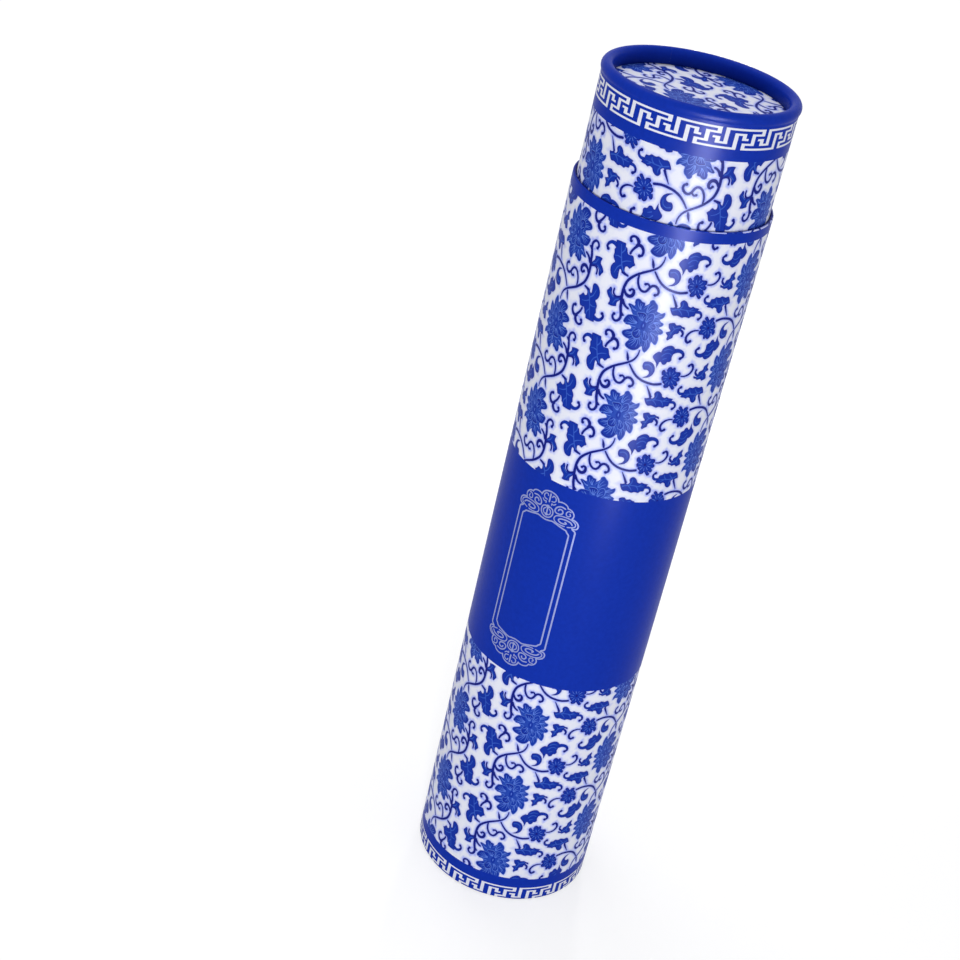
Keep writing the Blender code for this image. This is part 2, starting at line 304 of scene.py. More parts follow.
PETALS = (
    ((-0.6, 375.2), ((-4, 378.4), (-3.9, 380.2), (-2.7, 380.9), (-1.4, 380.3), (-0.9, 379.8),
                     (0.6, 379.6), (0.7, 378)), "leaf", 3),
    ((-2, 374.6), ((-4.4, 374), (-5.6, 375.6), (-6.9, 377), (-5.8, 377.3), (-4, 376.9)),
     "leaf", 2),
    ((2.3, 374.4), ((0.9, 376.6), (2.8, 379.2), (3, 381.2), (4.3, 382), (5.4, 380.9),
                    (6.6, 379.8), (7, 378), (6.4, 376.2)), "petal", 4),
    ((5.4, 373.2), ((7.4, 376.6), (9.6, 375.9), (11, 376.7), (11.1, 375.2), (10.4, 373.8),
                    (9, 372.9)), "petal", 4),
    ((6.2, 370.8), ((8.2, 372.2), (11.2, 371.3), (11.5, 370.5), (10.7, 369.5), (8.8, 369.2)),
     "petal", 3),
    ((6.6, 368.2), ((9.2, 368.6), (11.5, 367.8), (12.4, 366.6), (11.6, 365.5), (10, 365.4)),
     "petal", 3),
    ((6, 366), ((9.3, 365.2), (10.7, 363.8), (10.9, 361.8), (10.4, 359.7), (9.2, 360.3),
                    (7.8, 361.3)), "petal", 3),
    ((4.4, 364.2), ((7.1, 361.2), (7.9, 359.2), (7.5, 357), (6.2, 354.8), (4.9, 356.4),
                    (4.3, 358.8)), "petal", 3),
    ((1.6, 363), ((3.6, 359), (3.3, 356.9), (2.2, 355.5), (0.6, 354.7), (-1.4, 354.9),
                    (-3, 355.7), (-3.6, 356.9), (-2.6, 358.8), (-1, 361)), "leaf", 5),
    ((0.2, 364.4), ((-2.2, 359.9), (-4.2, 360.2), (-5.9, 361.1), (-6.5, 362.3), (-5.7, 363.5),
                    (-3.4, 364.7)), "leaf", 3),
    ((-0.6, 366.6), ((-2.4, 365.7), (-3.8, 367), (-5.9, 366.9), (-5.6, 367.8), (-3.2, 368.4)),
     "petal", 2),
    ((0, 368.6), ((-3, 367.9), (-6, 368), (-7.1, 367.7), (-7.1, 369), (-6.4, 370.7),
                    (-5.6, 371.7), (-3.6, 372.2), (-1.4, 372.2)), "leaf", 5),
    ((1.5, 370), ((-0.9, 372.4), (-1.8, 374.1), (-0.2, 374.4), (1.3, 374.6), (2.7, 373.8),
                    (2.7, 372)), "leaf", 4),
    ((2.9, 369.6), ((3.3, 372.4), (3.9, 374.6), (5.6, 375.3), (6.5, 373.8), (6.4, 371.6),
                    (5, 370)), "petal", 3),
    ((4.6, 368.2), ((5.6, 369.6), (7.4, 370.2), (8.6, 368.4), (7.6, 366.8), (5.8, 366.8)),
     "petal", 3),
    ((3.2, 366.2), ((3, 363.2), (4, 361), (5.6, 361), (6.3, 363), (5.7, 365.2)),
     "petal", 3),
    ((1.4, 366.4), ((-0.6, 366.2), (-1.8, 363.6), (-1, 361.6), (0.9, 361.1), (2.2, 362.2),
                    (2.3, 364.2)), "leaf", 3),
)
HEART = ((2.5, 368.2), 1.3, 2.3)
HEART_LIGHT = (0.3, 1)

# Small bud: its petals are teardrops round a light body
BUD = (22.9, 392.1)
BUD_BODY = (3.9, 4.5)
BUD_PETALS = (
    ((19.9, 393.2), ((18.6, 393.4), (18.3, 394.8), (18.9, 395.9), (20, 394.9))),
    ((20.2, 391.6), ((19.2, 390.6), (18.9, 392.1), (19.4, 393.2))),
    ((21.8, 394.4), ((20.4, 395.6), (20.8, 397), (21.8, 397.5), (22.7, 396.8), (22.8, 395.4))),
    ((23.5, 394.6), ((22.8, 396.6), (23.6, 397.4), (24.2, 396.9), (24.4, 395.6))),
    ((24.6, 393.3), ((25, 395.2), (26, 395.1), (27.2, 394.8), (27.4, 393.4), (26.4, 392.6))),
    ((25, 391.8), ((26.6, 392.7), (27.7, 391.9), (27.4, 390.7), (26.2, 390.6))),
    ((24.6, 390.3), ((26.4, 390.4), (27.2, 388.8), (26.4, 388.2), (25.2, 388.8))),
    ((23.8, 389.4), ((25, 388.6), (26.2, 387), (25.4, 386.4), (24.2, 387.6), (23.4, 388.6))),
    ((22.4, 389.4), ((23.2, 388.5), (22.8, 387.4), (21.3, 387.2), (20.8, 388.1), (21.4, 388.8))),
    ((21, 390.2), ((20.9, 389.2), (19.9, 389.8), (20, 391))),
)
BUD_SPREAD = 1.06
BUD_RAYS = 11
BUD_RAY_TURN = 9.82
BUD_RAY_ENDS = (1.7, 3.6)
BUD_SPOTS = (1.5, 1.725, 5)
BUD_SPOT_RADIUS = 0.75
BUD_HEART = (0.7, 0.8)

# Widths of the brush lines, from end to end
VEIN_WIDTHS = (0.62, 0.5, 0.25)
CONTOUR_WIDTHS = (0.3, 0.66, 0.66, 0.3)
TIP_WIDTHS = (0.1, 0.42, 0.42, 0.1)
RIB_WIDTHS = (0.34, 0.3, 0.15)
BUD_TIP_WIDTHS = (0.25, 0.7, 0.25)
BUD_RAY_WIDTHS = (0.32, 0.42, 0.2)
CURL_TAPER = 0.7

# Width of a leaf's dark edge, and places on the way from a petal's root to its margin
LEAF_EDGE = 0.4
DARK_TIP = 0.94
RIB_START, RIB_END = 0.15, 0.8
RIB_BEND = 0.06


def petal(root, margin, ink, ribs, steps):
    """A petal: its pale contour, its body, its dark tip and light ribs that fan out from its root."""
    root = Vector(root)
    edge = smooth(margin, steps)
    tip = [root.lerp(Vector(point), DARK_TIP) for point in margin]
    shade = "vine" if ink == "leaf" else "leaf"
    shapes = [("pale", ribbon(margin, CONTOUR_WIDTHS, steps)), (ink, [root] + edge),
              (shade, ribbon(tip, TIP_WIDTHS, steps))]
    for index in range(ribs):
        tip = edge[int((index + 1) / (ribs + 1) * (len(edge) - 1))]
        bend = root.lerp(tip, 0.5) + RIB_BEND * (tip - root).orthogonal()
        line = (root.lerp(tip, RIB_START), bend, root.lerp(tip, RIB_END))
        shapes.append(("pale", ribbon(line, RIB_WIDTHS, max(steps - 1, 1))))
    return shapes


def inset(outline, depth):
    """The outline moved inwards by a depth."""
    way = depth if area(outline) > 0 else -depth
    result = []
    for index, point in enumerate(outline):
        along = outline[(index + 1) % len(outline)] - outline[index - 1]
        result.append(point + way * Vector((-along.y, along.x)).normalized())
    return result


def leaf(outline, veins, steps):
    """A lobed leaf: its dark edge, its body and its lighter veins."""
    edge = [Vector(point) for point in outline]
    shapes = [("edge", smooth(edge, steps, closed=True)),
              ("leaf", smooth(inset(edge, LEAF_EDGE), steps, closed=True))]
    for vein in veins:
        shapes.append(("vein", ribbon(vein, VEIN_WIDTHS, steps)))
    return shapes


def stroke(ink, points, widths, knob, steps):
    """A vine, or the curl at the end of a leaf, which starts blue and goes dark at its knob."""
    widths = [width * STROKE for width in widths]
    shapes = [(ink, ribbon(points, widths, steps))]
    if ink == "leaf":
        shapes.append(("vine", ribbon(points[-3:], (widths[-2] * CURL_TAPER, widths[-1]), steps)))
    if knob:
        shapes.append(("vine", ring(points[-1], knob * STROKE, knob * STROKE, 4 + 2 * steps)))
    return shapes


def bud(steps):
    """The small bud: a ring of dark petals round a lighter body with a dark heart."""
    shapes = [("leaf", ring(BUD, *BUD_BODY, 8 * steps))]
    for root, margin in BUD_PETALS:
        spread_out = [Vector(BUD).lerp(Vector(point), BUD_SPREAD) for point in margin]
        shapes.append(("leaf", [Vector(root)] + smooth(spread_out, steps)))
        shapes.append(("vine", ribbon(spread_out, BUD_TIP_WIDTHS, steps)))
    ends = [ring(BUD, reach, reach, BUD_RAYS, BUD_RAY_TURN) for reach in BUD_RAY_ENDS]
    shapes += [("pale", ribbon(line, BUD_RAY_WIDTHS, 1)) for line in zip(*ends)]
    for spot in ring(BUD, *BUD_SPOTS):
        shapes.append(("petal", ring(spot, BUD_SPOT_RADIUS, BUD_SPOT_RADIUS, 3 * steps + 1)))
    shapes.append(("vine", ring(BUD, *BUD_HEART, 3 * steps + 1)))
    return shapes


def half_repeat(steps):
    """Every shape of one flower with its vine, as (ink, outline) from back to front."""
    shapes = []
    for points, widths, knob in STEMS:
        shapes += stroke("vine", points, widths, knob, steps)
    shapes.append(("vine", smooth(THORN, steps, closed=True)))
    for points, widths, knob in CURLS:
        shapes += stroke("leaf", points, widths, knob, steps)
    for outline, veins in LEAVES:
        shapes += leaf(outline, veins, steps)
    shapes += bud(steps)
    shapes.append(("bloom", smooth(FLOWER, steps, closed=True)))
    for root, margin, ink, ribs in PETALS:
        shapes += petal(root, margin, ink, ribs, steps)
    shapes.append(("leaf", ring(*HEART, 5 * steps)))
    shapes.append(("pale", ring(HEART[0], *HEART_LIGHT, 6)))
    return shapes


def repeats(shapes, low, high, shift=(0, 0)):
    """Copies of half a repeat, each turned both ways, that reach into a rectangle."""
    turned = [(ink, [2 * TWO_FOLD - point for point in outline]) for ink, outline in shapes]
    copies = []
    for half in (shapes, turned):
        centre = sum((outline[0] for ink, outline in half), Vector((0, 0))) / len(half)
        for across in COPIES_ACROSS:
            for up in COPIES_UP:
                move = across * ACROSS + up * UP + Vector(shift)
                where = centre + move
                if not all(low[axis] - HALF_REACH < where[axis] < high[axis] + HALF_REACH
                           for axis in (0, 1)):
                    continue
                for ink, outline in half:
                    moved = [point + move for point in outline]
                    if (max(p.x for p in moved) > low[0] and min(p.x for p in moved) < high[0]
                            and max(p.y for p in moved) > low[1] and min(p.y for p in moved) < high[1]):
                        copies.append((ink, moved))
    return copies


# Frets and the framed panel


def bar(left, low, right, high):
    """A rectangle."""
    return [Vector((left, low)), Vector((right, low)), Vector((right, high)), Vector((left, high))]


# One unit of the key fret, in mm across and in rows up: (left, lowest row, right, highest row)
FRET_BARS = (
    (0.0, 1, 2.0, 4), (0.0, 4, 21.4, 4), (19.3, 3, 21.4, 4), (14.1, 3, 21.4, 3),
    (14.1, 1, 16.1, 3), (9.4, 1, 16.1, 1), (9.4, 0, 11.3, 1), (9.4, 0, 30.1, 0),
    (28.1, 0, 30.1, 3), (28.1, 3, 34.2, 3), (32.2, 2, 34.2, 3), (32.2, 2, 35.6, 2),
    (17.8, 2, 21.4, 2), (19.3, 1, 21.4, 2), (19.3, 1, 25.3, 1))
FRET_UNIT = 23.22


def fret(sheet, first, units, base, row, line):
    """The white lines of a key fret round a tube."""
    unit = sheet.girth / units
    squeeze = unit / FRET_UNIT
    shapes = []
    for index in range(-units, units + 1):
        start = first + index * unit
        if not sheet.left - 2 * unit < start < sheet.right:
            continue
        for left, low, right, high in FRET_BARS:
            shapes.append(("fret", bar(start + left * squeeze, base + low * row,
                                       start + right * squeeze, base + high * row + line)))
    return shapes


PANEL_CENTRE = -21.3
PANEL_LOW, PANEL_HIGH = 175.6, 246.8
PANEL_BARS = ((17.4, -0.2), (14.5, -3.2))
PANEL_LINE = 0.85

# Half of the cloud crest over the panel, as offsets from the panel's centre line and its top:
# brush lines with their width. The other half and the crest below are its mirror images.
CREST = (
    (0.85, ((17.4, -0.4), (17.4, 0.9), (16.9, 1.9), (15.9, 2.4), (15.3, 3.2))),
    (0.8, ((14.5, -3.4), (14.4, -1.3), (13.4, -0.3), (12.5, 0.8), (10.8, 1.3), (8.6, 1.9), (6.2, 2.6),
           (4.2, 3), (2.2, 2.6), (0, 2.3))),
    (0.75, ((15.3, 3.1), (16.9, 3.2), (17.9, 4), (18.1, 5.3), (17.5, 6.8), (16, 7.9), (14, 8.4))),
    (0.7, ((14, 8.4), (14.6, 9.7), (14.5, 11.2), (13.5, 12.6), (12, 13.4), (10.9, 13.4))),
    (0.7, ((10.9, 13.4), (10.3, 14.6), (8.8, 15.4), (6.9, 15.6), (5, 15.1))),
    (0.8, ((5.2, 14.9), (4.7, 16.3), (3.6, 17.6), (2, 18.4), (0, 18.7))),
    (0.6, ((12.6, 3), (14.6, 3.6), (16.4, 4.5), (16.6, 5.9), (15.1, 7.3), (12.6, 8.1), (9.4, 8.1),
           (6.4, 7.5), (5, 6.3), (4.8, 4.8), (6, 3.5), (8.6, 2.9), (11.2, 2.9))),
    (0.75, ((15, 5), (13.8, 6.2), (11.2, 6.7), (8.4, 6.4), (7.2, 5.4), (8.4, 4.3), (10.6, 4.2),
            (11.8, 4.8), (10.9, 5.4))),
    (0.75, ((9.6, 12.7), (7.3, 13.1), (5.3, 12.1), (4.3, 10.5), (4.5, 9.1), (6, 8.5), (7.9, 8.9),
            (8.7, 10.1), (7.9, 11.4), (6.5, 11.3), (6.1, 10.3))),
    (0.6, ((12.9, 12), (11.6, 12.1), (10.6, 11), (10.7, 9.6), (11.9, 9.1), (12.9, 9.9),
           (12.4, 10.9))),
    (0.6, ((1.4, 13.6), (2.9, 13.9), (3.6, 15.2), (3, 16.6), (1.7, 16.9), (1.2, 15.9))),
    (0.6, ((3.9, 13.1), (2.8, 12.1), (1.7, 12.4), (1.8, 11.4))),
    (0.7, ((1.3, 10.1), (2.9, 9.2), (3.5, 7.3), (2.9, 5.3), (1.4, 4.1), (0, 3.8))),
    (0.6, ((1, 8.9), (2.1, 7.7), (1.9, 6.1), (0.8, 5.4))),
)
CREST_SPINE = ((0.8, 5.9, 9.0), (0.9, 12.9, 17.4))
CREST_KNOBS = ((9.9, 1.2, 1.0), (5.4, 0.9, 0.8))


def panel():
    """The silver frame of the panel on the wide band; inside it stays bare."""
    shapes = []
    for offset, over in PANEL_BARS:
        for side in (-1, 1):
            middle = PANEL_CENTRE + side * offset
            shapes.append(bar(middle - PANEL_LINE / 2, PANEL_LOW - over, middle + PANEL_LINE / 2,
                              PANEL_HIGH + over))
    for flip, edge in ((1, PANEL_HIGH), (-1, PANEL_LOW)):
        for side in (-1, 1):
            for width, points in CREST:
                line = [(PANEL_CENTRE + side * x, edge + flip * y) for x, y in points]
                shapes.append(ribbon(line, (width, width), 3))
        for width, low, high in CREST_SPINE:
            line = [(PANEL_CENTRE, edge + flip * low), (PANEL_CENTRE, edge + flip * high)]
            shapes.append(ribbon(line, (width, width), 1))
        for height, across, up in CREST_KNOBS:
            shapes.append(ring((PANEL_CENTRE, edge + flip * height), across, up, 12))
    return [("silver", outline) for outline in shapes]


# Sheets


class Profile:
    """The section that a sheet follows: straight runs and arcs that meet smoothly.
    Its outside lies to the right of the way it runs."""

    def __init__(self, start, heading):
        self.runs = []
        self.point, self.heading, self.s = Vector(start), math.radians(heading), 0.0

    def run(self, length, bend=0.0):
        """A run of this length that bends left by so much per millimetre."""
        self.runs.append((self.s, length, self.point, self.heading, bend))
        self.point, self.heading = self.step(self.runs[-1], length)
        self.s += length
        return self

    def arc(self, radius, sweep):
        """An arc that turns left by sweep degrees, or right if it is negative."""
        turn = math.radians(sweep)
        return self.run(radius * abs(turn), math.copysign(1 / radius, turn))

    def level(self, index):
        """Shift s so that it equals the height on the run with this index."""
        shift = self.runs[index][2].y - self.runs[index][0]
        self.runs = [(s + shift, *rest) for s, *rest in self.runs]
        self.s += shift
        return self

    @staticmethod
    def step(run, distance):
        _, _, point, heading, bend = run
        if bend == 0.0:
            return point + distance * Vector((math.cos(heading), math.sin(heading))), heading
        after = heading + bend * distance
        return point + Vector((math.sin(after) - math.sin(heading),
                               math.cos(heading) - math.cos(after))) / bend, after

    def at(self, s):
        """The place (r, z) at s, and the way out of the surface there."""
        run = next((run for run in self.runs if s < run[0] + run[1]), self.runs[-1])
        place, heading = self.step(run, s - run[0])
        return place, Vector((math.sin(heading), -math.cos(heading)))

    def rows(self, straight, bent):
        """Where rows of points lie: (s, whether the sheet bends there)."""
        found = []
        for s, length, point, heading, bend in self.runs:
            count = max(1, math.ceil(length / (bent if bend else straight)))
            found += [(s + length * index / count, bool(bend)) for index in range(count)]
            found.append((s + length, bool(bend)))
        return found


def ease(value):
    value = min(1.0, max(0.0, value))
    return value * value * (3 - 2 * value)


class Sheet:
    """A printed paper: its outline with the glued lap, its print and its mesh."""

    # How far painted shade reaches back from the paper's end in an inner corner; none unless set
    painted_shade_reach = 0.0

    def __init__(self, profile, radius, lap_angle, tab):
        self.profile, self.radius = profile, radius
        self.girth = math.tau * radius
        self.left = math.radians(lap_angle - 270) * radius
        self.butt = self.left + self.girth - BUTT_GAP
        self.right = self.butt + LAP_WIDTH
        self.low, self.high = profile.runs[0][0], profile.s
        self.tab = tab
        self.shapes = []

    def outline(self):
        """The sheet's edge: a strip whose right end carries the tab of the lap."""
        low, high = self.tab
        return [Vector(point) for point in (
            (self.left, self.low), (self.butt, self.low), (self.butt, low),
            (self.right, low + LAP_WIDTH), (self.right, high - LAP_WIDTH), (self.butt, high),
            (self.butt, self.high), (self.left, self.high))]

    def rows(self, straight):
        """Where rows of points lie, as the profile gives them."""
        return self.profile.rows(straight, ARC_ROW)

    def lift(self, u, s):
        """How far the paper stands off the tube where it climbs over its own start."""
        low, high = self.tab
        return ((PAPER + LAP_LIFT) * ease((u - self.butt + LAP_RISE) / LAP_RISE)
                * ease((s - low) / LAP_FADE + 1) * ease((high - s) / LAP_FADE + 1))

    def place(self, u, s, depth):
        """A point of the sheet and its normal, in metres round the tube."""
        (r, z), (out, up) = self.profile.at(s)
        lift = self.lift(u, s) - depth
        angle = u / self.radius - math.pi / 2
        cos, sin = math.cos(angle), math.sin(angle)
        slope = (self.lift(u + SLOPE_STEP, s) - self.lift(u - SLOPE_STEP, s)) / (2 * SLOPE_STEP)
        r, z = r + lift * out, z + lift * up
        normal = Vector((out * cos, out * sin, up)) - slope * Vector((-sin, cos, 0))
        return Vector((r * cos, r * sin, z)) * MM, normal.normalized()

    def painted_shade(self, point):
        """How much painted shade darkens the print where it runs into an inner corner, from 0 to 1."""
        return ease(1 - (self.high - point.y) / self.painted_shade_reach) if self.painted_shade_reach else 0.0

    def band(self, ink, low, high, sway=0.0):
        """A plain band right across the sheet, whose upper edge may sway once round the tube."""
        count = SWAY_POINTS if sway else 1
        start, width = self.left - BAND_OVERHANG, self.right - self.left + 2 * BAND_OVERHANG
        across = [start + width * index / count for index in range(count + 1)]
        top = [Vector((u, high - sway * math.sin(u / self.radius))) for u in reversed(across)]
        self.shapes.append((ink, [Vector((start, low)), Vector((start + width, low))] + top))

    def inside(self, spot):
        """Whether a flat point lies well inside the sheet's straight edges."""
        right = self.right if self.tab[0] < spot.y < self.tab[1] else self.butt
        return (self.left + BACK_EDGE < spot.x < right - BACK_EDGE
                and self.low + BACK_EDGE < spot.y < self.high - BACK_EDGE)

    def cut(self):
        """Triangles of the flat sheet: (points, triangles, ink of each, glow of each point)."""
        points, edges, faces, inks = [], [], [], []

        def add(outline, ink):
            outline = split(outline if area(outline) > 0 else outline[::-1], COLUMN)
            faces.append(list(range(len(points), len(points) + len(outline))))
            points.extend(outline)
            inks.append(ink)

        add(self.outline(), "ground")
        for ink, outline in self.shapes:
            add(outline, ink)
        tree = near(points)
        columns = math.ceil((self.right - self.left) / COLUMN)
        for s, bends in self.rows(ROW):
            if bends:
                edges.append((len(points), len(points) + 1))
                points += [Vector((self.left - ROW_OVERHANG, s)), Vector((self.right + ROW_OVERHANG, s))]
            for index in range(columns + 1):
                points.append(Vector((self.left + (self.right - self.left) * index / columns, s)))
        points += self.rings(tree)
        flat, _, triangles, _, _, owners = delaunay_2d_cdt(points, edges, faces, 1, MERGE, True)
        kept = [(face, inks[max(owner)]) for face, owner in zip(triangles, owners)
                if owner and min(owner) == 0]
        used = sorted({index for face, ink in kept for index in face})
        number = {index: place for place, index in enumerate(used)}
        flat = [flat[index] for index in used]
        return (flat, [[number[index] for index in face] for face, ink in kept],
                [ink for face, ink in kept], self.glow(flat))

    def glow(self, flat):
        """How strong the glow beside the inked shapes is at each point."""
        found = [0.0] * len(flat)
        for shade, strength in HALO.items():
            points = [point for ink, outline in self.shapes if ink == shade
                      for point in split(outline, COLUMN)]
            tree = near(points)
            for index, point in enumerate(flat):
                fall = math.exp(-(gap(tree, point) / HALO_REACH) ** HALO_FALL)
                found[index] = max(found[index], strength * fall)
        return found

    def rings(self, tree):
        """Points beside the inked shapes, for the soft glow that surrounds them."""
        found, taken = [], set()
        for ink, outline in self.shapes:
            if ink not in HALO:
                continue
            walked = 0.0
            sign = 1 if area(outline) > 0 else -1
            for index, point in enumerate(outline):
                step = point - outline[index - 1]
                walked += step.length
                if walked < HALO_SPACING or step.length == 0:
                    continue
                walked = 0.0
                away = sign * Vector((step.y, -step.x)).normalized()
                for distance in HALO_RINGS:
                    spot = point + away * distance
                    cell = (round(spot.x / HALO_CELL), round(spot.y / HALO_CELL))
                    if cell not in taken and gap(tree, spot) > HALO_CLEAR * distance:
                        taken.add(cell)
                        found.append(spot)
        return found

    def build(self, name, inks):
        """The closed mesh of the paper: printed front, plain back and its cut edge."""
        front, triangles, face_inks, glow = self.cut()
        rim = border(triangles)
        back, back_triangles = self.back([front[index] for index in rim])
        spots = [self.place(*point, 0.0) for point in front]
        spots += [self.place(*point, PAPER) for point in back]
        first = len(front)
        faces = [list(face) for face in triangles]
        faces += [[first + index for index in reversed(face)] for face in back_triangles]
        slots = [inks.index(ink) for ink in face_inks]
        slots += [inks.index("core")] * len(back_triangles)
        for index, vertex in enumerate(rim):
            faces.append([vertex, rim[index - 1], first + (index - 1) % len(rim), first + index])
            slots.append(inks.index("core"))
        mesh = bpy.data.meshes.new(name)
        mesh.from_pydata([spot for spot, normal in spots], [], faces)
        for ink in inks:
            mesh.materials.append(INKS[ink])
        mesh.polygons.foreach_set("material_index", slots)
        mesh.shade_smooth()
        self.shade(mesh, [normal for spot, normal in spots], first)
        self.lay_out(mesh, front + back, first)
        # The halo layer tints the paper blue beside the inks; the other layer holds the painted shade in the
        # recess's corner
        for key, values in (("halo", glow), ("painted_shade", [self.painted_shade(point) for point in front])):
            layer = mesh.attributes.new(key, "FLOAT", "POINT")
            layer.data.foreach_set("value", values + [0.0] * len(back))
        piece = bpy.data.objects.new(name, mesh)
        bpy.context.collection.objects.link(piece)
        return piece

    def back(self, loop):
        """Coarse triangles of the sheet's back, whose outline is the front's."""
        points, edges = list(loop), []
        count = len(loop)
        tree = near(loop)
        columns = math.ceil((self.right - self.left) / BACK_COLUMN)
        for s, bends in self.rows(BACK_ROW):
            row = []
            for index in range(columns + 1):
                spot = Vector((self.left + (self.right - self.left) * index / columns, s))
                if gap(tree, spot) > BACK_EDGE and self.inside(spot):
                    row.append(len(points))
                    points.append(spot)
            if bends:
                ends = [tree.find((x, s, 0.0))[1] for x in (self.left, self.butt)]
                row = [ends[0]] + row + [ends[1]]
                edges += list(zip(row, row[1:]))
        flat, _, triangles, origins, _, owners = delaunay_2d_cdt(
            points, edges, [list(range(count))], 1, MERGE, True)
        kept = [face for face, owner in zip(triangles, owners) if owner]
        order = {}
        for index, origin in enumerate(origins):
            for source in origin:
                order[source] = index
        numbers = {order[index]: index for index in range(count)}
        result = list(loop)
        for face in kept:
            for index in face:
                if index not in numbers:
                    numbers[index] = len(result)
                    result.append(flat[index])
        return result, [[numbers[index] for index in face] for face in kept]

    def shade(self, mesh, normals, first):
        """Give both sides the true normals of the wrapped sheet, so that they look round."""
        corners = []
        for polygon in mesh.polygons:
            vertices = polygon.vertices
            if all(index < first for index in vertices):
                corners += [normals[index] for index in vertices]
            elif all(index >= first for index in vertices):
                corners += [-normals[index] for index in vertices]
            else:
                corners += [polygon.normal.copy()] * len(vertices)
        mesh.normals_split_custom_set(corners)

    def lay_out(self, mesh, flat, first):
        """Texture coordinates: the sheet laid flat, its back in a strip above its front."""
        layer = mesh.uv_layers.new(name="OFBake")
        width = self.right - self.left
        height = self.high - self.low
        place = []
        for index, point in enumerate(flat):
            start, share = FRONT_STRIP if index < first else BACK_STRIP
            place.append((UV_MARGIN + (1 - 2 * UV_MARGIN) * (point.x - self.left) / width,
                          start + share * (point.y - self.low) / height))
        for loop in mesh.loops:
            layer.data[loop.index].uv = place[loop.vertex_index]


class Disc(Sheet):
    """A round printed paper that lies flat, face up."""

    def __init__(self, radius, height):
        self.left = self.low = -radius
        self.right = self.high = radius
        self.height = height
        self.shapes = []

    def outline(self):
        return ring((0, 0), self.right, self.right, 128)

    def rows(self, straight):
        return []

    def place(self, u, s, depth):
        return Vector((u, s, self.height - depth)) * MM, Vector((0, 0, 1))


def near(points):
    """A tree of flat points, for gap()."""
    tree = KDTree(len(points))
    for index, point in enumerate(points):
        tree.insert((*point, 0.0), index)
    tree.balance()
    return tree


def gap(tree, point):
    """Distance from a flat point to the nearest point in the tree."""
    return tree.find((*point, 0.0))[2]


def border(triangles):
    """The outline of a patch of triangles, as vertices in order."""
    sides = dict.fromkeys((face[index - 1], face[index]) for face in triangles for index in range(3))
    edges = {a: b for a, b in sides if (b, a) not in sides}
    start = next(iter(edges))
    loop, vertex = [start], edges[start]
    while vertex != start:
        loop.append(vertex)
        vertex = edges[vertex]
    return loop


# The soft glow beside the inks: how strong it is beside each, and its shape
HALO = {"vine": 1.0, "leaf": 0.55, "edge": 0.55, "bloom": 0.55}
HALO_SPACING = 1.3
HALO_RINGS = (0.7, 1.8)
HALO_CELL = 0.7
HALO_CLEAR = 0.72
HALO_REACH = 0.68
HALO_FALL = 1.2


# Materials, with colours as linear light

GROUND = (0.872, 0.882, 0.985)
GROUND_COOL = (0.838, 0.866, 0.978)
GLOW = (0.29, 0.36, 0.94)
COBALT = (0.006, 0.033, 0.405)
INK_COLOURS = {
    "vine": (0.009, 0.015, 0.220), "edge": (0.009, 0.019, 0.270), "leaf": (0.009, 0.036, 0.375),
    "bloom": (0.021, 0.068, 0.450), "petal": (0.013, 0.048, 0.405), "vein": (0.036, 0.105, 0.540),
    "pale": (0.110, 0.220, 0.720),
    "fret": (0.80, 0.82, 0.93)}
SILVER = (0.25, 0.29, 0.56)
CORE = (0.78, 0.76, 0.72)
GREY_BOARD = (0.30, 0.265, 0.22)
WHITE_PAPER = (0.76, 0.75, 0.73)

# Strength of the reflection of the film over the print
FILM = 0.025

# What is left of the cobalt under the painted shade where the print runs into the corner of the recess
PAINTED_SHADE_FACTOR = 0.42


def material(name, colour, roughness, metallic=0.0, specular=0.5):
    """A material with its Principled shader, both returned."""
    made = bpy.data.materials.new(name)
    made.use_nodes = True
    shader = made.node_tree.nodes["Principled BSDF"]
    shader.inputs["Base Color"].default_value = (*colour, 1.0)
    shader.inputs["Roughness"].default_value = roughness
    shader.inputs["Metallic"].default_value = metallic
    shader.inputs["Specular IOR Level"].default_value = specular
    return made, shader


def node(made, kind, *sources, **values):
    """A node with sources linked to its first inputs, and properties and inputs set by name."""
    new = made.node_tree.nodes.new(kind)
    for key, value in values.items():
        if hasattr(new, key):
            setattr(new, key, value)
        else:
            new.inputs[key.replace("_", " ")].default_value = value
    for source, target in zip(sources, new.inputs):
        link(made, source, target)
    return new


def link(made, source, target):
    made.node_tree.links.new(source, target)


def place_in(made):
    """The place in the object's own space."""
    return node(made, "ShaderNodeTexCoord").outputs["Object"]


def noise(made, scale, detail=3.0, roughness=0.55):
    """Noise in the object's own space, its scale in ripples per metre."""
    texture = node(made, "ShaderNodeTexNoise", place_in(made), Scale=scale, Detail=detail,
                   Roughness=roughness)
    return texture.outputs["Fac"]


def spread(made, value, low, high, start=0.3, end=0.7, kind="LINEAR"):
    """The value, taken from start to end and spread from low to high."""
    mapped = node(made, "ShaderNodeMapRange", value, From_Min=start, From_Max=end, To_Min=low,
                  To_Max=high, interpolation_type=kind)
    return mapped.outputs["Result"]


def relief(made, shader, layers):
    """Bumps laid over each other: (value, strength, depth in metres)."""
    below = None
    for value, strength, depth in layers:
        bump = node(made, "ShaderNodeBump", Strength=strength, Distance=depth)
        link(made, value, bump.inputs["Height"])
        if below:
            link(made, below, bump.inputs["Normal"])
        below = bump.outputs["Normal"]
    link(made, below, shader.inputs["Normal"])


def tint(made, value, first, second):
    """A mix by a value of a colour, written out or a node's output, and a second one."""
    mix = node(made, "ShaderNodeMix", value, data_type="RGBA")
    if isinstance(first, tuple):
        mix.inputs[6].default_value = (*first, 1.0)
    else:
        link(made, first, mix.inputs[6])
    mix.inputs[7].default_value = (*second, 1.0)
    return mix.outputs[2]


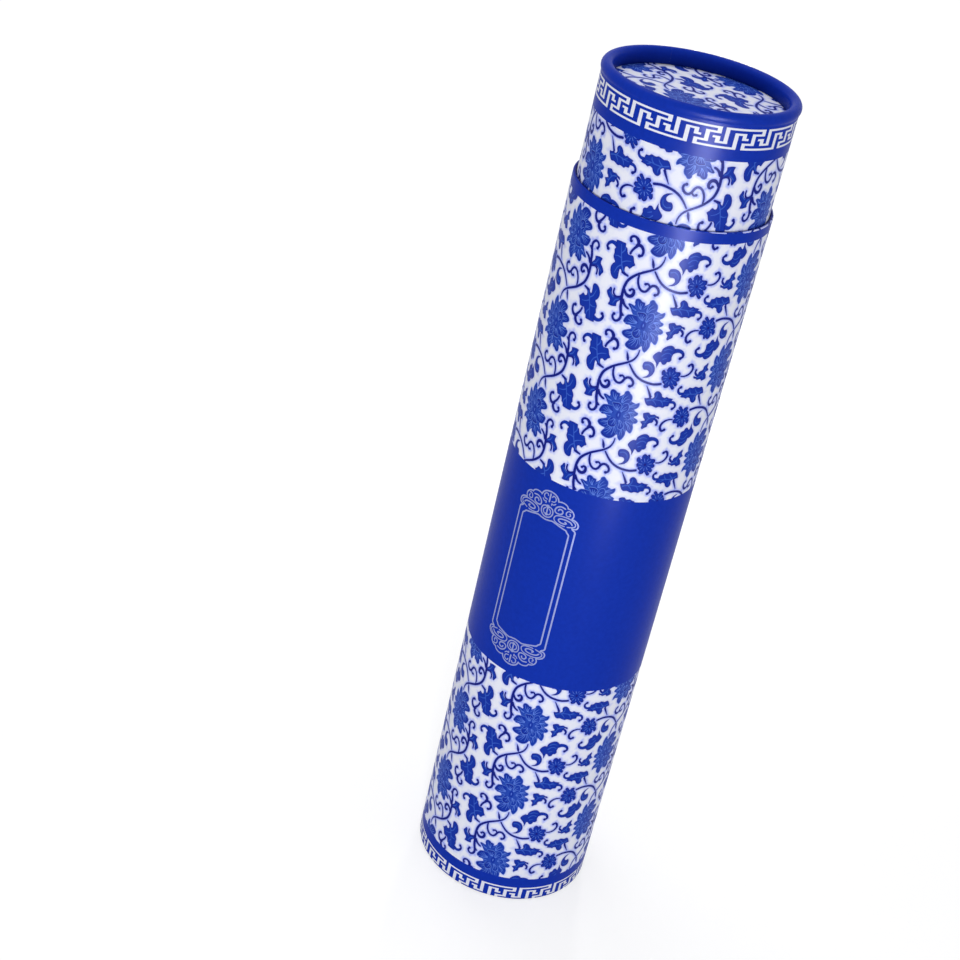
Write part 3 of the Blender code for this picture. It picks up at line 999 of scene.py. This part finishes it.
def printed(name, colour):
    """Print under satin film: gloss that varies a little, fine fibre and the ripple below."""
    made, shader = material(name, colour, 0.4, specular=FILM)
    link(made, spread(made, noise(made, 900.0, 4.0), 0.31, 0.41), shader.inputs["Roughness"])
    relief(made, shader, ((noise(made, 60.0, 2.0), 0.25, 0.0002), (noise(made, 2600.0, 4.0), 0.12, 0.00004)))
    return made, shader


def shaded(colour, factor):
    return tuple(channel * factor for channel in colour)


def deepened(made, shader, mottle, layer, colour):
    """Give the shader a mottled colour that turns to another one where a layer of the mesh says."""
    amount = node(made, "ShaderNodeAttribute", attribute_name=layer).outputs["Fac"]
    link(made, tint(made, amount, mottle, colour), shader.inputs["Base Color"])
    return made


def ground():
    """White printed paper, glowing blue beside the inked shapes."""
    made, shader = printed("printed_ground", GROUND)
    paper = tint(made, spread(made, noise(made, 220.0), 0.0, 1.0), GROUND_COOL, GROUND)
    return deepened(made, shader, paper, "halo", GLOW)


def cobalt(name="printed_cobalt", factor=1.0):
    """Solid cobalt print, a little uneven, with painted shade where it runs into the recess's corner."""
    colour = shaded(COBALT, factor)
    made, shader = printed(name, colour)
    mottle = tint(made, spread(made, noise(made, 420.0, 5.0), 0.0, 1.0), shaded(colour, 0.93),
                  shaded(colour, 1.05))
    return deepened(made, shader, mottle, "painted_shade", shaded(colour, PAINTED_SHADE_FACTOR))


def silver():
    """Hot-stamped silver foil."""
    made, shader = material("silver_foil", SILVER, 0.34, metallic=0.45)
    link(made, spread(made, noise(made, 3000.0, 4.0), 0.28, 0.44), shader.inputs["Roughness"])
    relief(made, shader, ((noise(made, 2200.0, 4.0), 0.3, 0.00005),))
    return made


def fibrous(name, colour, scale, contrast, roughness):
    """Bare paper or board with fibres and specks."""
    made, shader = material(name, colour, roughness, specular=0.2)
    mottle = tint(made, spread(made, noise(made, scale, 6.0, 0.65), 0.0, 1.0),
                  shaded(colour, 1 - contrast), shaded(colour, 1 + contrast * 0.5))
    link(made, mottle, shader.inputs["Base Color"])
    link(made, spread(made, noise(made, scale * 2), roughness - 0.06, roughness + 0.05),
         shader.inputs["Roughness"])
    relief(made, shader, ((noise(made, scale * 2.5, 5.0), 0.4, 0.00006),))
    return made


INKS = {name: printed("ink_" + name, colour)[0] for name, colour in INK_COLOURS.items()}
INKS.update(ground=ground(), cobalt=cobalt(), silver=silver(),
            core=fibrous("paper_core", CORE, 1500.0, 0.06, 0.85))
INK_ORDER = ["ground", "cobalt", "vine", "edge", "leaf", "bloom", "petal", "vein", "pale", "fret",
             "silver", "core"]


# The printed papers

OUTER_STRIP = (9.55, 16.05)
WIDE_BAND = (151.7, 271.75)
LIP_STRIP = (414.05, 419.9)
LIP_STRIP_SWAY = 0.7
# Painted shadow of the slit between the lip and the inner tube: a dark band over the top of the lip and down
# its inside
LIP_PAINTED_SHADOW = (420.15, 422.0)
# How far the painted shade in the recess's corner reaches back from the paper's end, in millimetres
PAINTED_SHADE_REACH = 7.0
OUTER_FRET = dict(first=-27.7, units=14, base=-0.35, row=2.23, line=0.95)
NECK_STRIP = 454.3
NECK_FRET = dict(first=-30.1, units=13, base=460.0, row=2.28, line=0.98)
TOP_CENTRE = Vector((-10.0, 264.5))
TOP_TURN = 138.0


def outer_wrap():
    """The outer tube's paper: from under the bottom, up the wall, over the lip and in."""
    wall = LIP_HEIGHT - LIP_RADIUS - WRAP_BASE - EDGE_RADIUS
    profile = Profile((OUTER_RADIUS - EDGE_RADIUS - BOTTOM_TURN_UNDER, WRAP_BASE), 0)
    profile.run(BOTTOM_TURN_UNDER).arc(EDGE_RADIUS, 90).run(wall).arc(LIP_RADIUS, 180)
    profile.run(MOUTH_TURN_IN - LIP_RADIUS).level(2)
    tab = (TAB_MARGIN, LIP_HEIGHT - TAB_MARGIN)
    sheet = Sheet(profile, OUTER_RADIUS, OUTER_LAP_ANGLE, tab)
    motifs = half_repeat(2)
    for low, high, shift in ((OUTER_STRIP[1], WIDE_BAND[0], LOW_SHIFT),
                             (WIDE_BAND[1], sheet.high, (0, 0))):
        sheet.shapes += repeats(motifs, (sheet.left, low), (sheet.right, high), shift)
    sheet.band("cobalt", sheet.low - 1, OUTER_STRIP[1])
    sheet.band("cobalt", *WIDE_BAND)
    sheet.band("cobalt", *LIP_STRIP, LIP_STRIP_SWAY)
    # Painted shadow of the slit between the lip and the inner tube, in the dark vine ink
    sheet.band("vine", *LIP_PAINTED_SHADOW)
    sheet.shapes += fret(sheet, **OUTER_FRET)
    sheet.shapes += panel()
    return sheet.build("outer_wrap", INK_ORDER)


def inner_wrap():
    """The inner tube's paper: up the wall, over the rolled rim and down into the recess."""
    centre = NECK_RADIUS + RIM_PROUD - RIM_ROLL_RADIUS
    across = NECK_RADIUS + RIM_FILLET - centre
    drop = math.sqrt((RIM_ROLL_RADIUS + RIM_FILLET) ** 2 - across ** 2)
    lean = math.degrees(math.atan2(drop, across))
    rim_height = RIM_TOP - RIM_ROLL_RADIUS
    profile = Profile((NECK_RADIUS, INNER_FOOT), 90)
    profile.run(rim_height - drop - INNER_FOOT).arc(RIM_FILLET, -lean)
    profile.arc(RIM_ROLL_RADIUS, lean + 180).run(rim_height - TOP_FACE - LEG_CLEARANCE).level(0)
    tab = (INNER_FOOT + TAB_MARGIN, rim_height - RIM_TAB_MARGIN)
    sheet = Sheet(profile, NECK_RADIUS, INNER_LAP_ANGLE, tab)
    # Painted shade darkens the cobalt where it runs into the recess's corner
    sheet.painted_shade_reach = PAINTED_SHADE_REACH
    split = LIP_HEIGHT - MOUTH_TURN_IN
    corners = (sheet.left, INNER_FOOT), (sheet.right, NECK_STRIP)
    for steps, low, high in ((1, INNER_FOOT, split), (2, split, NECK_STRIP)):
        copies = repeats(half_repeat(steps), *corners, INNER_SHIFT)
        for shade, outline in copies:
            middle = sum(point.y for point in outline) / len(outline)
            if low <= middle < high or (steps == 2 and middle >= high):
                sheet.shapes.append((shade, outline))
    sheet.band("cobalt", NECK_STRIP, sheet.high + 1)
    sheet.shapes += fret(sheet, **NECK_FRET)
    return sheet.build("inner_wrap", INK_ORDER)


def top_print():
    """The round paper in the top, cut from the same print at a slant."""
    disc = Disc(TOP_RADIUS, TOP_FACE)
    reach = Vector((TOP_RADIUS, TOP_RADIUS))
    turn = Matrix.Rotation(math.radians(-TOP_TURN), 2)
    for shade, outline in repeats(half_repeat(2), TOP_CENTRE - reach, TOP_CENTRE + reach):
        moved = [turn @ (point - TOP_CENTRE) for point in outline]
        if min(point.length for point in moved) < TOP_RADIUS:
            disc.shapes.append((shade, moved))
    return disc.build("top_print", INK_ORDER)


for piece, body, node_name in ((outer_wrap(), "outer", "outer_printed_wrap"),
                               (inner_wrap(), "inner", "inner_printed_wrap"),
                               (top_print(), "inner", "top_disc_facing")):
    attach(piece, body)
    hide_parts(node_name)


# The other solids keep their shapes and get their papers and boards

LININGS = ("outer_lining", "inner_lining", "bottom_disc_lining", "top_disc_lining")
BOARDS = ("outer_board_tube", "inner_board_tube", "bottom_disc", "top_disc")
FINISHES = {name: fibrous(name + "_paper", WHITE_PAPER, 900.0, 0.05, 0.8) for name in LININGS}
FINISHES.update({name: fibrous(name + "_board", GREY_BOARD, 700.0, 0.16, 0.9) for name in BOARDS})
FINISHES["bottom_disc_facing"] = cobalt("bottom_cobalt_paper", 0.9)
for node_name, finish in FINISHES.items():
    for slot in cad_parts[node_name].material_slots:
        slot.material = finish


# Camera, as the photograph was taken

CAMERA_PLACE = (0.0, -0.84527, 0.70956)
CAMERA_RIGHT = (0.96496, 0.17763, 0.19312)
CAMERA_DOWN = (0.2548, -0.4586, -0.85133)
CAMERA_AHEAD = (-0.06266, 0.87071, -0.48779)
SENSOR_WIDTH = 36.0
FOCAL_LENGTH = 67.616


def add_camera():
    camera = bpy.data.cameras.new("camera")
    camera.sensor_width = SENSOR_WIDTH
    camera.lens = FOCAL_LENGTH
    camera.clip_start = 0.01
    holder = bpy.data.objects.new("camera", camera)
    axes = (Vector(CAMERA_RIGHT), -Vector(CAMERA_DOWN), -Vector(CAMERA_AHEAD))
    turn = Matrix(axes).transposed()
    holder.matrix_world = Matrix.Translation(CAMERA_PLACE) @ turn.to_4x4()
    bpy.context.collection.objects.link(holder)
    bpy.context.scene.camera = holder


add_camera()


# Floor, backdrop and lights

FLOOR_SIZE = 6.0
FLOOR_COLOUR = (0.60, 0.60, 0.61)
FLOOR_SEEN = (0.5, 0.5, 0.5)
FLOOR_GLOW = (0.56, 0.73)
FLOOR_GLOW_REACH = (0.25, 1.1)
BACKDROP = (1.0, 1.0, 1.0)
AMBIENT = 0.60


def seen(made):
    """1 for the rays that look at the backdrop: the camera's, off gloss and through glass."""
    path = node(made, "ShaderNodeLightPath")
    value = path.outputs["Is Camera Ray"]
    for kind in ("Is Glossy Ray", "Is Transmission Ray"):
        either = node(made, "ShaderNodeMath", value, path.outputs[kind], operation="MAXIMUM")
        value = either.outputs["Value"]
    return value


def add_floor():
    """A plain pale floor that looks white and keeps the object's shadow. Its glow grows outwards
    as the lamps' light fades, so that it looks evenly white."""
    mesh = bpy.data.meshes.new("floor")
    half = FLOOR_SIZE / 2
    corners = [(-half, -half, 0), (half, -half, 0), (half, half, 0), (-half, half, 0)]
    mesh.from_pydata(corners, [], [(0, 1, 2, 3)])
    made = bpy.data.materials.new("floor")
    made.use_nodes = True
    made.node_tree.nodes.clear()
    lit = node(made, "ShaderNodeBsdfDiffuse", Color=(*FLOOR_COLOUR, 1.0))
    pale = node(made, "ShaderNodeBsdfDiffuse", Color=(*FLOOR_SEEN, 1.0))
    distance = node(made, "ShaderNodeVectorMath", place_in(made), operation="LENGTH")
    strength = spread(made, distance.outputs["Value"], *FLOOR_GLOW, *FLOOR_GLOW_REACH, "SMOOTHSTEP")
    glow = node(made, "ShaderNodeEmission")
    link(made, strength, glow.inputs["Strength"])
    both = node(made, "ShaderNodeAddShader", pale.outputs[0], glow.outputs[0])
    mix = node(made, "ShaderNodeMixShader", seen(made), lit.outputs[0], both.outputs[0])
    node(made, "ShaderNodeOutputMaterial", mix.outputs[0])
    mesh.materials.append(made)
    floor = bpy.data.objects.new("floor", mesh)
    bpy.context.collection.objects.link(floor)


def add_world():
    """Even pale light from all round, seen as white."""
    world = bpy.data.worlds.new("studio")
    bpy.context.scene.world = world
    world.use_nodes = True
    background = world.node_tree.nodes["Background"]
    background.inputs["Color"].default_value = (*BACKDROP, 1.0)
    link(world, spread(world, seen(world), AMBIENT, 1.0, 0.0, 1.0), background.inputs["Strength"])


def add_light(name, place, aim, size, power, gloss_only=False):
    """A rectangular soft light."""
    light = bpy.data.lights.new(name, "AREA")
    light.shape = "RECTANGLE"
    light.size, light.size_y = size
    light.energy = power
    holder = bpy.data.objects.new(name, light)
    holder.location = place
    holder.rotation_euler = (Vector(aim) - Vector(place)).to_track_quat("-Z", "Y").to_euler()
    holder.visible_camera = False
    holder.visible_diffuse = not gloss_only
    bpy.context.collection.objects.link(holder)


add_floor()
add_world()
add_light("key", (0.045, -0.78, 0.39), (0, 0, 0.28), (0.07, 0.12), 2.45)
add_light("top", (-0.30, 0.35, 1.25), (0, 0, 0.46), (0.40, 0.40), 2.4)
add_light("back", (0, 0.85, 0.38), (0, 0, 0.26), (0.09, 0.12), 1.9)
add_light("sheen", (0.062, -0.167, 0.332), (0.01, -0.049, 0.271), (0.043, 0.311), 4.4, gloss_only=True)

scene = bpy.context.scene
scene.view_settings.view_transform = "Standard"
